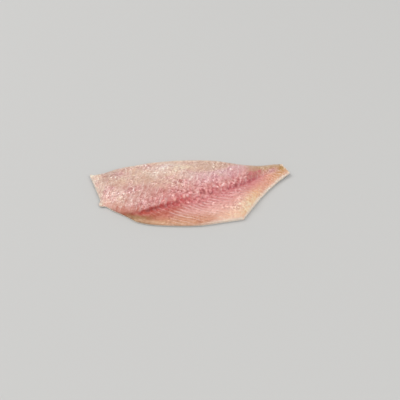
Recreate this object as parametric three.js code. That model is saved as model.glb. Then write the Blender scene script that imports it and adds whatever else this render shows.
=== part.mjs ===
// Skin-on sea bream fillet, laid skin down with its cut flesh up.
//
// The fillet is the whole side of a fish. Its head end is at -X, its tail at +X, its back edge at +Y
// and its belly at -Y. The flesh is one solid: a thick loin along the back, a crease where the backbone
// was cut away, and below it a belly flap that is thin in front and thickens behind the belly cavity.
// The skin is a second solid, a thin sheet of the same outline that backs the flesh all over.
// Both share one surface, so nothing lies between them. Units are millimetres, and +Z is up.

import * as THREE from "three";

// Overall size

const HEAD_X = -97.4; // foremost point, the upper corner of the head cut
const TAIL_X = 97.4; // rearmost point, the lower corner of the tail cut
const SKIN_THICKNESS = 0.7;
const EDGE_HEIGHT = 1.2; // height of the flesh's own side wall, all round

// Outline, seen from above. Each edge is a smooth line through a few points [x, y].

const COLLAR_CUT = [[-92.6, -6.6], [-86.6, -8.2], [-81.0, -14.2], [-70.4, -24.0], [-61.0, -34.2]];
const BELLY_EDGE = [[-61.0, -34.2], [-52.0, -38.9], [-30.0, -45.1], [-4.0, -49.4], [18, -48.9], [38.6, -48]];
const VENT_EDGE = [[38.6, -48.0], [48.0, -36.4], [63.6, -18.2], [82.0, -0.6], [TAIL_X, 10.6]];
const BACK_EDGE = [
  [HEAD_X, 40.9], [-90.6, 40.2], [-82.0, 41.8], [-70.0, 45.8], [-50.0, 48.2], [-26.0, 49.7], [4.0, 47.0],
  [29.0, 41.3], [55.0, 31.0], [70.0, 26.7], [84.0, 25.6], [93.0, 23.6],
];
const HEAD_CUT_BOTTOM_X = -89.4; // where the head cut would meet the lower corner without its tongue
const TONGUE = { length: 3.2, centre: 0.03, halfWidth: 0.08 }; // a scrap of flesh left at that corner
const HEAD_SHAPE_REACH = 0.13; // share of the length over which the head cut's own line fades out

// Line of the backbone, from the belly's corner to the tail

const MIDLINE = [
  [-98, -26.0], [-80, -22.0], [-70, -23.4], [-60, -27.2], [-50, -28.0], [-40, -27.0], [-26, -24.8], [-12, -21.4],
  [2, -19.6], [14, -16.6], [30, -12.2], [46, -5.0], [64, 2.8], [72, 6.4], [98, 17.0],
];
const CREASE_SPAN = { head: -88, headFull: -58, tailFull: 52, tail: 80 }; // the crease fades out at both ends

// Thickness of the flesh along the body, as [x, height]

const CREASE_HEIGHT = [[-98, 6.8], [-60, 8.2], [-20, 9.6], [20, 9.0], [60, 6.8], [98, 4.6]];
const LOIN_HEIGHT = [[-98, 8.6], [-60, 13.6], [-25, 15.4], [15, 13.8], [60, 9.2], [98, 5.0]];
const BACK_RIM_HEIGHT = [[-98, 4.6], [0, 5.4], [60, 4.6], [98, 3.4]];
const FLAP_HEIGHT = [[-98, 3.4], [-20, 3.9], [20, 4.6], [60, 4.4], [98, 3.4]];
const FLAP_DROP = { steepness: 4.2, edgeFall: 1.2 }; // how the flap falls away below the crease
const REAR_LOBE = { height: 2.6, roundness: 1.6, fadeFrom: 40, fadeTo: 88 }; // swell behind the belly cavity
const CAVITY_END = { from: -6, to: 44 }; // the belly cavity thins the flesh up to here
const LOIN_CREST = 0.36; // place of the loin's crest, from the crease (0) to the back edge (1)
const LOIN_LIP = { height: 1.1, width: 5.5, inset: 4.4 }; // the loin's rolled lower edge, above the crease
const CREASE_GROOVE = { depth: 1.3, width: 2.6 };
const LOBES = { length: 8.4, sway: 0.9, swell: 0.45, spell: 53, spread: 1.1 }; // the lip ends in lobes

// Each cut edge slopes up over this width to the full thickness

const BEVEL = { head: 11.0, collar: 19.0, belly: 3.8, vent: 6.0, tail: 8.0, back: 9.0 };
const BEVEL_ROUNDNESS = 1.55; // 1 makes the slope straight, 2 a quarter of an ellipse
const CORNER_BLEND = 4; // how tightly the slopes of two edges meet at a corner

// The flesh parts into flakes along slanting grooves, which meet at the midline as chevrons

const FLAKE = { pitch: 8.4, slantBack: 0.42, slantBelly: 1.35, depth: 0.42, sharpness: 0.6, level: 0.7 };

// Slow waves over the whole top: height, length along the body, length across it, and start

const WAVES = [
  { height: 0.34, along: 60, across: 48, start: 0.3 },
  { height: 0.2, along: 30, across: 39, start: 1.9 },
];
const MIN_TOP = 0.4; // least height of the top over its side wall, inside the slope

// The rim curls up off the surface that the fillet lies on. Reaches are shares of the width or length.

const CURL = { back: 0.8, belly: 0.4, head: 0.6, tail: 1.4 };
const CURL_REACH = { side: 0.12, head: 0.05, tail: 0.14 };
const CURL_RINGS = 2;
const REST_PLATE = { x: [-45, 25], y: [-22, 28] }; // the middle of the flat underside

// Facets

const COLUMNS = 82;
const ROWS = 36;
const EDGE_CROWDING = 0.5; // 0 spaces the facets evenly, 1 crowds them towards the edges

const clamp = THREE.MathUtils.clamp;
const lerp = THREE.MathUtils.lerp;
const smoothstep = THREE.MathUtils.smoothstep;
const bell = (distance, width) => Math.exp(-((distance / width) ** 2));

// Height of a smooth line through points [x, y] at x: cubic pieces with the mean slope at each point.
function through(points, x) {
  const last = points.length - 1;
  const at = clamp(x, points[0][0], points[last][0]);
  let k = 0;
  while (k < last - 1 && at > points[k + 1][0]) k += 1;
  const rise = (j) => (points[j + 1][1] - points[j][1]) / (points[j + 1][0] - points[j][0]);
  const slope = (j) => (j === 0 ? rise(0) : j === last ? rise(last - 1) : (rise(j - 1) + rise(j)) / 2);
  const [[x0, y0], [x1, y1]] = [points[k], points[k + 1]];
  const span = x1 - x0;
  const t = (at - x0) / span;
  const start = (1 + 2 * t) * (1 - t) ** 2 * y0 + t * (1 - t) ** 2 * span * slope(k);
  const end = t * t * (3 - 2 * t) * y1 + t * t * (t - 1) * span * slope(k + 1);
  return start + end;
}

function lowerEdge(x) {
  if (x < BELLY_EDGE[0][0]) return through(COLLAR_CUT, x);
  return x < VENT_EDGE[0][0] ? through(BELLY_EDGE, x) : through(VENT_EDGE, x);
}

// A point of the outline's inside: along runs from the head cut to the tail cut, across from belly to back.
function planPoint(along, across) {
  const lowX = lerp(COLLAR_CUT[0][0], TAIL_X, along);
  const highX = lerp(HEAD_X, BACK_EDGE[BACK_EDGE.length - 1][0], along);
  const x = lerp(lowX, highX, across);
  const y = lerp(lowerEdge(lowX), through(BACK_EDGE, highX), across);
  const straight = lerp(COLLAR_CUT[0][0], HEAD_X, across);
  const tongue = TONGUE.length * bell(across - TONGUE.centre, TONGUE.halfWidth);
  const headCut = lerp(HEAD_CUT_BOTTOM_X, HEAD_X, across) - tongue;
  const fade = Math.max(0, 1 - along / HEAD_SHAPE_REACH) ** 2;
  return [x + (headCut - straight) * fade, y];
}

// Share of the way in from an edge, crowded towards both ends.
function crowded(t) {
  return lerp(t, 0.5 - 0.5 * Math.cos(Math.PI * t), EDGE_CROWDING);
}

// The edges as polylines, to measure how far inside a point lies.

const EDGE_STEPS = 60;
const steps = Array.from({ length: EDGE_STEPS + 1 }, (_, i) => i / EDGE_STEPS);
const shareAt = (x) => (x - COLLAR_CUT[0][0]) / (TAIL_X - COLLAR_CUT[0][0]);
const stretch = (from, to) => steps.map((t) => planPoint(lerp(from, to, t), 0));
const EDGES = {
  head: steps.map((t) => planPoint(0, t)),
  collar: stretch(0, shareAt(BELLY_EDGE[0][0])),
  belly: stretch(shareAt(BELLY_EDGE[0][0]), shareAt(VENT_EDGE[0][0])),
  vent: stretch(shareAt(VENT_EDGE[0][0]), 1),
  tail: steps.map((t) => planPoint(1, t)),
  back: steps.map((t) => planPoint(t, 1)),
};

function distanceTo(line, x, y) {
  let nearest = Infinity;
  for (let i = 0; i < line.length - 1; i += 1) {
    const [[ax, ay], [bx, by]] = [line[i], line[i + 1]];
    const [dx, dy] = [bx - ax, by - ay];
    const t = clamp(((x - ax) * dx + (y - ay) * dy) / (dx * dx + dy * dy), 0, 1);
    nearest = Math.min(nearest, Math.hypot(x - ax - t * dx, y - ay - t * dy));
  }
  return nearest;
}

// How much of the full thickness is left near the cut edges, from 0 on an edge to 1 inside.
function edgeSlope(x, y) {
  let lack = 0;
  for (const [name, width] of Object.entries(BEVEL)) {
    lack += clamp(1 - distanceTo(EDGES[name], x, y) / width, 0, 1) ** CORNER_BLEND;
  }
  const inwards = Math.min(lack, 1) ** (1 / CORNER_BLEND);
  return (1 - inwards ** BEVEL_ROUNDNESS) ** (1 / BEVEL_ROUNDNESS);
}

// Thickness of the flesh at a point, without the slope of its edges.
function fullThickness(x, y) {
  const middle = through(MIDLINE, x);
  const offset = y - middle;
  const crease = through(CREASE_HEIGHT, x);
  const { head, headFull, tailFull, tail } = CREASE_SPAN;
  const open = smoothstep(x, head, headFull) * (1 - smoothstep(x, tailFull, tail));
  const shift = LOBES.spread * Math.sin(2 * Math.PI * (x / LOBES.spell));
  const swing = Math.sin(2 * Math.PI * (x / LOBES.length) + shift);
  const fromCrease = offset + LOBES.sway * swing;
  const lipHeight = LOIN_LIP.height * (1 + LOBES.swell * swing);
  const lip = open * lipHeight * bell(fromCrease - LOIN_LIP.inset, LOIN_LIP.width);
  const groove = open * CREASE_GROOVE.depth * bell(fromCrease, CREASE_GROOVE.width);
  if (offset >= 0) {
    const share = clamp(offset / (through(BACK_EDGE, x) - middle), 0, 1);
    const rim = through(BACK_RIM_HEIGHT, x);
    const slab = lerp(crease, rim, share * share);
    const toCrest = share < LOIN_CREST ? share / LOIN_CREST : (1 - share) / (1 - LOIN_CREST);
    const swell = through(LOIN_HEIGHT, x) - lerp(crease, rim, LOIN_CREST ** 2);
    return slab + swell * Math.sin((Math.PI / 2) * toCrest) + lip - groove;
  }
  const share = clamp(-offset / Math.max(middle - lowerEdge(x), 1), 0, 1);
  const behind = smoothstep(x, CAVITY_END.from, CAVITY_END.to);
  const flap = through(FLAP_HEIGHT, x);
  const front = lerp(flap, crease, Math.exp(-FLAP_DROP.steepness * share)) - FLAP_DROP.edgeFall * share;
  const swell = REAR_LOBE.height * (1 - smoothstep(x, REAR_LOBE.fadeFrom, REAR_LOBE.fadeTo));
  const rear = lerp(crease, flap, share ** REAR_LOBE.roundness) + swell * Math.sin(Math.PI * share);
  return lerp(front, rear, behind) + lip - groove;
}

// Height of the grooves between the flakes and of the slow waves, about zero on the average.
function relief(x, y) {
  const offset = y - through(MIDLINE, x);
  const slant = offset > 0 ? FLAKE.slantBack : FLAKE.slantBelly;
  const phase = (x - slant * Math.abs(offset)) / FLAKE.pitch;
  const flakes = FLAKE.depth * (Math.abs(Math.sin(Math.PI * phase)) ** FLAKE.sharpness - FLAKE.level);
  return WAVES.reduce((sum, wave) => {
    const turns = x / wave.along + y / wave.across;
    return sum + wave.height * Math.sin(2 * Math.PI * turns + wave.start);
  }, flakes);
}

function curlAt(along, across) {
  const back = clamp(1 - (1 - across) / CURL_REACH.side, 0, 1) ** 2;
  const belly = clamp(1 - across / CURL_REACH.side, 0, 1) ** 2;
  const head = clamp(1 - along / CURL_REACH.head, 0, 1) ** 2;
  const tail = clamp(1 - (1 - along) / CURL_REACH.tail, 0, 1) ** 2;
  return CURL.back * back + CURL.belly * belly + CURL.head * head + CURL.tail * tail;
}

function topPoint(along, across) {
  const [x, y] = planPoint(along, across);
  const share = edgeSlope(x, y);
  const inside = Math.max(fullThickness(x, y) + relief(x, y) - EDGE_HEIGHT, MIN_TOP);
  return [x, y, SKIN_THICKNESS + curlAt(along, across) + EDGE_HEIGHT + inside * share];
}

function underPoint(along, across, height) {
  const [x, y] = planPoint(along, across);
  return [x, y, height + curlAt(along, across)];
}

// The rim of the grid of facets, anticlockwise from the belly's head corner, as [along, across].
function rim() {
  const loop = [];
  for (let i = 0; i < COLUMNS; i += 1) loop.push([crowded(i / COLUMNS), 0]);
  for (let j = 0; j < ROWS; j += 1) loop.push([1, crowded(j / ROWS)]);
  for (let i = COLUMNS; i > 0; i -= 1) loop.push([crowded(i / COLUMNS), 1]);
  for (let j = ROWS; j > 0; j -= 1) loop.push([0, crowded(j / ROWS)]);
  return loop;
}

// Closed surfaces, gathered as points and triangles

const quad = (a, b, c, d) => [[a, b, c], [a, c, d]];

// Facets from one closed anticlockwise ring of points to the next, which lies above it or inside it.
function ringFaces(first, second) {
  return first.flatMap((_, i) => {
    const next = (i + 1) % first.length;
    return quad(first[i], first[next], second[next], second[i]);
  });
}

class Surface {
  constructor() {
    this.points = [];
    this.faces = [];
  }

  add(point) {
    return this.points.push(point) - 1;
  }

  geometry() {
    const made = new THREE.BufferGeometry();
    made.setAttribute("position", new THREE.Float32BufferAttribute(this.points.flat(), 3));
    made.setIndex(this.faces.flat());
    made.computeVertexNormals();
    return made;
  }
}

// The top of the flesh as a grid, with its outer ring of points returned in the order of rim().
function addTop(surface) {
  const grid = [];
  for (let i = 0; i <= COLUMNS; i += 1) {
    grid.push([]);
    for (let j = 0; j <= ROWS; j += 1) {
      grid[i].push(surface.add(topPoint(crowded(i / COLUMNS), crowded(j / ROWS))));
    }
  }
  for (let i = 0; i < COLUMNS; i += 1) {
    for (let j = 0; j < ROWS; j += 1) {
      surface.faces.push(...quad(grid[i][j], grid[i + 1][j], grid[i + 1][j + 1], grid[i][j + 1]));
    }
  }
  const ring = [];
  for (let i = 0; i < COLUMNS; i += 1) ring.push(grid[i][0]);
  for (let j = 0; j < ROWS; j += 1) ring.push(grid[COLUMNS][j]);
  for (let i = COLUMNS; i > 0; i -= 1) ring.push(grid[i][ROWS]);
  for (let j = ROWS; j > 0; j -= 1) ring.push(grid[0][j]);
  return ring;
}

// A sheet like the underside at a given height, facing up or down: rings that follow the curl of the rim,
// a flat field inside them, and one plain plate in the middle. Returns its outer ring.
function addSheet(surface, height, facesUp) {
  const rings = [];
  for (let k = 0; k <= CURL_RINGS; k += 1) {
    const inset = k / CURL_RINGS;
    rings.push(
      rim().map(([along, across]) =>
        surface.add(
          underPoint(
            lerp(inset * CURL_REACH.head, 1 - inset * CURL_REACH.tail, along),
            lerp(inset * CURL_REACH.side, 1 - inset * CURL_REACH.side, across),
            height,
          ),
        ),
      ),
    );
  }
  const faces = [];
  for (let k = 0; k < CURL_RINGS; k += 1) faces.push(...ringFaces(rings[k], rings[k + 1]));
  const inner = rings[CURL_RINGS];
  const [[x0, x1], [y0, y1]] = [REST_PLATE.x, REST_PLATE.y];
  const plate = [[x0, y0], [x0, y1], [x1, y1], [x1, y0]].map(([x, y]) => surface.add([x, y, height]));
  const flat = (ids) => ids.map((id) => new THREE.Vector2(surface.points[id][0], surface.points[id][1]));
  const ids = [...inner, ...plate];
  const field = THREE.ShapeUtils.triangulateShape(flat(inner), [flat(plate)]);
  const [a, b, c, d] = plate;
  faces.push(...field.map((face) => face.map((k) => ids[k])), [a, c, b], [a, d, c]);
  surface.faces.push(...(facesUp ? faces : faces.map((face) => face.toReversed())));
  return rings[0];
}

function fleshGeometry() {
  const surface = new Surface();
  const top = addTop(surface);
  const bottom = addSheet(surface, SKIN_THICKNESS, false);
  surface.faces.push(...ringFaces(bottom, top));
  return surface.geometry();
}

function skinGeometry() {
  const surface = new Surface();
  const top = addSheet(surface, SKIN_THICKNESS, true);
  const bottom = addSheet(surface, 0, false);
  surface.faces.push(...ringFaces(bottom, top));
  return surface.geometry();
}

const fleshFinish = new THREE.MeshStandardMaterial({ color: 0xdca898, roughness: 0.35, metalness: 0 });
const skinFinish = new THREE.MeshStandardMaterial({ color: 0x9a9a98, roughness: 0.3, metalness: 0.35 });

const flesh = new THREE.Mesh(fleshGeometry(), fleshFinish);
flesh.name = "flesh";
const skin = new THREE.Mesh(skinGeometry(), skinFinish);
skin.name = "skin";

const fillet = new THREE.Group();
fillet.add(flesh, skin);

export default fillet;
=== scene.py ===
import bpy
import math
import numpy as np
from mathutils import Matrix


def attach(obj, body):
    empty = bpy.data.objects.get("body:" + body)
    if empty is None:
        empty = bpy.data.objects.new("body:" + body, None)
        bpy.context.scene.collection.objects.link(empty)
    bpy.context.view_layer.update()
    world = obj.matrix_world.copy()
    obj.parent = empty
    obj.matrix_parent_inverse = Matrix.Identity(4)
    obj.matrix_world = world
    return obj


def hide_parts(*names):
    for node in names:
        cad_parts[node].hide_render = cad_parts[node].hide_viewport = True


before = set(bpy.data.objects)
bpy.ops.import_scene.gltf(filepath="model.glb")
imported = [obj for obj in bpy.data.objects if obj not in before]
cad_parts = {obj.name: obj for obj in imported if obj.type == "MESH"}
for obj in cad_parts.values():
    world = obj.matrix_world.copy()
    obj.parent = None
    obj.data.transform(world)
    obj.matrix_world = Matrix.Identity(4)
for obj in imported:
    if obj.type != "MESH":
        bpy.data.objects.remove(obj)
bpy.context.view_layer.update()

# The flesh is the whole side of a sea bream, cut away from the backbone with a long knife and laid skin
# down. It is raw muscle: a thick loin along the back, the dark red line where the backbone lay, and a
# thin belly flap lined with a smooth skin in front. All round, the knife left a sloping cut edge.

MM = 0.001
HEAD_X = -97.4
TAIL_X = 97.4
SKIN_THICKNESS = 0.7
EDGE_HEIGHT = 1.2

# The cut edges seen from above, in millimetres: x runs from head to tail, y from belly to back
COLLAR_CUT = [[-92.6, -6.6], [-86.6, -8.2], [-81.0, -14.2], [-70.4, -24.0], [-61.0, -34.2]]
BELLY_EDGE = [[-61.0, -34.2], [-52.0, -38.9], [-30.0, -45.1], [-4.0, -49.4], [18, -48.9], [38.6, -48]]
VENT_EDGE = [[38.6, -48.0], [48.0, -36.4], [63.6, -18.2], [82.0, -0.6], [TAIL_X, 10.6]]
BACK_EDGE = [
    [HEAD_X, 40.9], [-90.6, 40.2], [-82.0, 41.8], [-70.0, 45.8], [-50.0, 48.2], [-26.0, 49.7], [4.0, 47.0],
    [29.0, 41.3], [55.0, 31.0], [70.0, 26.7], [84.0, 25.6], [93.0, 23.6],
]
HEAD_CUT_BOTTOM_X = -89.4
TONGUE_LENGTH, TONGUE_CENTRE, TONGUE_HALF_WIDTH = 3.2, 0.03, 0.08
HEAD_SHAPE_REACH = 0.13

# The midline as points [x, y], and heights along the fillet as points [x, height]
MIDLINE = [
    [-98, -26.0], [-80, -22.0], [-70, -23.4], [-60, -27.2], [-50, -28.0], [-40, -27.0], [-26, -24.8],
    [-12, -21.4], [2, -19.6], [14, -16.6], [30, -12.2], [46, -5.0], [64, 2.8], [72, 6.4], [98, 17.0],
]
CREASE_SPAN = (-88, -58, 52, 80)
CREASE_HEIGHT = [[-98, 6.8], [-60, 8.2], [-20, 9.6], [20, 9.0], [60, 6.8], [98, 4.6]]
LOIN_HEIGHT = [[-98, 8.6], [-60, 13.6], [-25, 15.4], [15, 13.8], [60, 9.2], [98, 5.0]]
BACK_RIM_HEIGHT = [[-98, 4.6], [0, 5.4], [60, 4.6], [98, 3.4]]
FLAP_HEIGHT = [[-98, 3.4], [-20, 3.9], [20, 4.6], [60, 4.4], [98, 3.4]]
FLAP_STEEPNESS, FLAP_EDGE_FALL = 4.2, 1.2
REAR_LOBE_HEIGHT, REAR_LOBE_ROUNDNESS, REAR_LOBE_FADE = 2.6, 1.6, (40, 88)
CAVITY_END = (-6, 44)
LOIN_CREST = 0.36
LIP_HEIGHT, LIP_WIDTH, LIP_INSET = 1.1, 5.5, 4.4
GROOVE_DEPTH, GROOVE_WIDTH = 1.3, 2.6
LOBE_LENGTH, LOBE_SWAY, LOBE_SWELL, LOBE_SPELL, LOBE_SPREAD = 8.4, 0.9, 0.45, 53, 1.1
BEVEL = {"head": 11.0, "collar": 19.0, "belly": 3.8, "vent": 6.0, "tail": 8.0, "back": 9.0}
BEVEL_ROUNDNESS = 1.55
CORNER_BLEND = 4
WAVES = [(0.34, 60, 48, 0.3), (0.2, 30, 39, 1.9)]
MIN_TOP = 0.4
CURL_BACK, CURL_BELLY, CURL_HEAD, CURL_TAIL = 0.8, 0.4, 0.6, 1.4
CURL_SIDE_REACH, CURL_HEAD_REACH, CURL_TAIL_REACH = 0.12, 0.05, 0.14

FLAKE_PITCH, FLAKE_SLANT_BACK, FLAKE_SLANT_BELLY = 6.2, 0.42, 1.35
FLAKE_BEND, FLAKE_BEND_FROM = 26.0, 0.62
FLESH_COLUMNS, FLESH_ROWS = 400, 200
SEAM_INSETS = (0.0, 0.5, 1.0)


def through(points, x):
    """Height at x of a smooth line through points [x, y], with the mean slope at each point."""
    px, py = np.array(points, float).T
    x = np.clip(x, px[0], px[-1])
    k = np.clip(np.searchsorted(px, x) - 1, 0, len(px) - 2)
    rise = np.diff(py) / np.diff(px)
    slope = np.concatenate([rise[:1], (rise[:-1] + rise[1:]) / 2, rise[-1:]])
    span = px[k + 1] - px[k]
    t = (x - px[k]) / span
    start = (1 + 2 * t) * (1 - t) ** 2 * py[k] + t * (1 - t) ** 2 * span * slope[k]
    return start + t * t * (3 - 2 * t) * py[k + 1] + t * t * (t - 1) * span * slope[k + 1]


def lerp(a, b, t):
    return a + (b - a) * t


def ramp(x, low, high):
    """0 below low, 1 above high, and a smooth rise between."""
    t = np.clip((x - low) / (high - low), 0, 1)
    return t * t * (3 - 2 * t)


def stretch(x, start, full, fade, end):
    """1 from full to fade, 0 before start and after end, and smooth between."""
    return ramp(x, start, full) * (1 - ramp(x, fade, end))


def bell(distance, width):
    return np.exp(-((distance / width) ** 2))


def lower_edge(x):
    line = np.where(x < BELLY_EDGE[0][0], through(COLLAR_CUT, x), through(BELLY_EDGE, x))
    return np.where(x < VENT_EDGE[0][0], line, through(VENT_EDGE, x))


def plan(along, across):
    """Point of the fillet seen from above: along runs head to tail, across runs belly to back."""
    low_x = lerp(COLLAR_CUT[0][0], TAIL_X, along)
    high_x = lerp(HEAD_X, BACK_EDGE[-1][0], along)
    y = lerp(lower_edge(low_x), through(BACK_EDGE, high_x), across)
    straight = lerp(COLLAR_CUT[0][0], HEAD_X, across)
    tongue = TONGUE_LENGTH * bell(across - TONGUE_CENTRE, TONGUE_HALF_WIDTH)
    head_cut = lerp(HEAD_CUT_BOTTOM_X, HEAD_X, across) - tongue
    fade = np.clip(1 - along / HEAD_SHAPE_REACH, 0, 1) ** 2
    return lerp(low_x, high_x, across) + (head_cut - straight) * fade, y


def crowded(t, crowding=0.5):
    """Shares from 0 to 1 that lie closer together near both ends."""
    return lerp(t, 0.5 - 0.5 * np.cos(np.pi * t), crowding)


def edge_lines(steps=60):
    """The cut edges as polylines."""
    t = np.linspace(0, 1, steps + 1)
    start = COLLAR_CUT[0][0]
    corner = (BELLY_EDGE[0][0] - start) / (TAIL_X - start)
    vent = (VENT_EDGE[0][0] - start) / (TAIL_X - start)
    zero, one = np.zeros_like(t), np.ones_like(t)
    return {
        "head": plan(zero, t), "collar": plan(lerp(0, corner, t), zero),
        "belly": plan(lerp(corner, vent, t), zero), "vent": plan(lerp(vent, 1, t), zero),
        "tail": plan(one, t), "back": plan(t, one),
    }


def distance_to(line, x, y):
    nearest = np.full(x.shape, np.inf)
    points = np.stack(line, 1)
    for (ax, ay), (bx, by) in zip(points, points[1:]):
        dx, dy = bx - ax, by - ay
        t = np.clip(((x - ax) * dx + (y - ay) * dy) / (dx * dx + dy * dy), 0, 1)
        nearest = np.minimum(nearest, np.hypot(x - ax - t * dx, y - ay - t * dy))
    return nearest


def lobe_swing(x):
    """Goes from -1 to 1 and back once for each lobe of the loin's lower edge."""
    return np.sin(2 * np.pi * x / LOBE_LENGTH + LOBE_SPREAD * np.sin(2 * np.pi * x / LOBE_SPELL))


def full_thickness(x, y):
    """Height of the flesh without the rounding of its edges."""
    middle = through(MIDLINE, x)
    offset = y - middle
    crease = through(CREASE_HEIGHT, x)
    opening = stretch(x, *CREASE_SPAN)
    swing = lobe_swing(x)
    from_crease = offset + LOBE_SWAY * swing
    lip = opening * LIP_HEIGHT * (1 + LOBE_SWELL * swing) * bell(from_crease - LIP_INSET, LIP_WIDTH)
    groove = opening * GROOVE_DEPTH * bell(from_crease, GROOVE_WIDTH)
    up = np.clip(offset / (through(BACK_EDGE, x) - middle), 0, 1)
    rim = through(BACK_RIM_HEIGHT, x)
    to_crest = np.where(up < LOIN_CREST, up / LOIN_CREST, (1 - up) / (1 - LOIN_CREST))
    swell = through(LOIN_HEIGHT, x) - lerp(crease, rim, LOIN_CREST ** 2)
    loin = lerp(crease, rim, up * up) + swell * np.sin(np.pi / 2 * to_crest)
    down = np.clip(-offset / np.maximum(middle - lower_edge(x), 1), 0, 1)
    flap = through(FLAP_HEIGHT, x)
    front = lerp(flap, crease, np.exp(-FLAP_STEEPNESS * down)) - FLAP_EDGE_FALL * down
    lobe = REAR_LOBE_HEIGHT * (1 - ramp(x, *REAR_LOBE_FADE)) * np.sin(np.pi * down)
    rear = lerp(crease, flap, down ** REAR_LOBE_ROUNDNESS) + lobe
    belly = lerp(front, rear, ramp(x, *CAVITY_END))
    return np.where(offset >= 0, loin, belly) + lip - groove


def curl(along, across):
    """How far the rim curls up from what the fillet lies on."""
    back = np.clip(1 - (1 - across) / CURL_SIDE_REACH, 0, 1) ** 2
    belly = np.clip(1 - across / CURL_SIDE_REACH, 0, 1) ** 2
    head = np.clip(1 - along / CURL_HEAD_REACH, 0, 1) ** 2
    tail = np.clip(1 - (1 - along) / CURL_TAIL_REACH, 0, 1) ** 2
    return CURL_BACK * back + CURL_BELLY * belly + CURL_HEAD * head + CURL_TAIL * tail


def seam_ring(along, across, inset):
    """Points where flesh and skin meet: the rim at inset 0, and further in, down to the flat part, at 1."""
    along = lerp(inset * CURL_HEAD_REACH, 1 - inset * CURL_TAIL_REACH, along)
    across = lerp(inset * CURL_SIDE_REACH, 1 - inset * CURL_SIDE_REACH, across)
    return np.stack([*plan(along, across), SKIN_THICKNESS + curl(along, across)], 1)


def grid_shares(columns, rows):
    u, v = crowded(np.arange(columns + 1) / columns), crowded(np.arange(rows + 1) / rows)
    return np.meshgrid(u, v, indexing="ij")


def grid_rim(columns, rows):
    """Numbers of the grid's outer points, anticlockwise seen from above."""
    n = np.arange((columns + 1) * (rows + 1)).reshape(columns + 1, rows + 1)
    return np.concatenate([n[:-1, 0], n[-1, :-1], n[:0:-1, -1], n[0, :0:-1]])


def grid_faces(columns, rows):
    n = np.arange((columns + 1) * (rows + 1)).reshape(columns + 1, rows + 1)
    return np.stack([n[:-1, :-1], n[1:, :-1], n[1:, 1:], n[:-1, 1:]], -1).reshape(-1, 4)


def ring_numbers(rim, grid_size, count):
    """Point numbers of the rim, and of the rings of points that follow the grid's own."""
    return [rim] + [grid_size + len(rim) * k + np.arange(len(rim)) for k in range(count)]


def ring_faces(first, second):
    return np.stack([first, np.roll(first, -1), np.roll(second, -1), second], 1)


def with_rings(masks, rim, count):
    """The masks of the grid's points, with the rim's values repeated on each ring."""
    return {
        label: np.concatenate([values.ravel()] + [values.ravel()[rim]] * count)
        for label, values in masks.items()
    }


def closed_mesh(name, points_mm, quads, cap, attributes):
    """A mesh from points in millimetres, four-sided faces and one many-sided cap."""
    mesh = bpy.data.meshes.new(name)
    mesh.from_pydata((points_mm * MM).tolist(), [], quads.tolist() + [cap.tolist()])
    for label, values in attributes.items():
        mesh.attributes.new(label, "FLOAT", "POINT").data.foreach_set("value", values.astype(np.float32))
    mesh.shade_smooth()
    piece = bpy.data.objects.new(name, mesh)
    bpy.context.collection.objects.link(piece)
    return piece


def add(tree, kind, feeds=None, out=0, **settings):
    """Add a node, set and feed it, and give back one of its outputs."""
    node = tree.nodes.new(kind)
    for key, value in settings.items():
        setattr(node, key, value)
    for where, value in (feeds or {}).items():
        if isinstance(value, bpy.types.NodeSocket):
            tree.links.new(value, node.inputs[where])
        else:
            node.inputs[where].default_value = value
    return node.outputs[out]


def calc(tree, operation, *values, clamp=False):
    return add(tree, "ShaderNodeMath", dict(enumerate(values)), operation=operation, use_clamp=clamp)


def product(tree, first, *others):
    for other in others:
        first = calc(tree, "MULTIPLY", first, other)
    return first


def inverse(tree, share):
    """What a share from 0 to 1 leaves over."""
    return calc(tree, "SUBTRACT", 1.0, share, clamp=True)


def centred(tree, texture):
    """A texture from 0 to 1, moved so that it goes above and below zero."""
    return calc(tree, "SUBTRACT", texture, 0.5)


def rise(tree, value, low, high, to_low=0.0, to_high=1.0):
    """Map a value from one range to another, smoothly and with both ends held."""
    feeds = {0: value, 1: low, 2: high, 3: to_low, 4: to_high}
    return add(tree, "ShaderNodeMapRange", feeds, interpolation_type="SMOOTHSTEP")


def zone(tree, value, start, full, fade, end):
    """1 from full to fade, 0 before start and after end, and smooth between."""
    return calc(tree, "MULTIPLY", rise(tree, value, start, full), rise(tree, value, end, fade))


def point(tree, x, y, z=0.0):
    return add(tree, "ShaderNodeCombineXYZ", {0: x, 1: y, 2: z})


def noise(tree, vector, scale, detail=3.0, roughness=0.55, twist=0.0):
    feeds = {"Vector": vector, "Scale": scale, "Detail": detail, "Roughness": roughness, "Distortion": twist}
    return add(tree, "ShaderNodeTexNoise", feeds)


def start_relief(name, inputs):
    """A new Geometry Nodes tree with a geometry in and out, and named number inputs."""
    tree = bpy.data.node_groups.new(name, "GeometryNodeTree")
    tree.interface.new_socket("Geometry", in_out="INPUT", socket_type="NodeSocketGeometry")
    for label in inputs:
        tree.interface.new_socket(label, in_out="INPUT", socket_type="NodeSocketFloat")
    tree.interface.new_socket("Geometry", in_out="OUTPUT", socket_type="NodeSocketGeometry")
    return tree, tree.nodes.new("NodeGroupInput").outputs


def reading(tree, label):
    return add(tree, "GeometryNodeInputNamedAttribute", {"Name": label}, data_type="FLOAT")


def lifted(tree, geometry, height_mm):
    """The geometry with each point raised by a height in millimetres."""
    shift = point(tree, 0.0, 0.0, calc(tree, "MULTIPLY", height_mm, MM))
    return add(tree, "GeometryNodeSetPosition", {"Geometry": geometry, "Offset": shift})


def stored(tree, geometry, label, value):
    """The geometry with a value kept on its points, where the material reads it."""
    feeds = {"Geometry": geometry, "Name": label, "Value": value}
    return add(tree, "GeometryNodeStoreNamedAttribute", feeds, data_type="FLOAT", domain="POINT")


def finish_relief(tree, geometry, material):
    real = add(tree, "GeometryNodeRealizeInstances", {0: geometry})
    dressed = add(tree, "GeometryNodeSetMaterial", {"Geometry": real, "Material": material})
    tree.links.new(dressed, tree.nodes.new("NodeGroupOutput").inputs[0])


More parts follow.
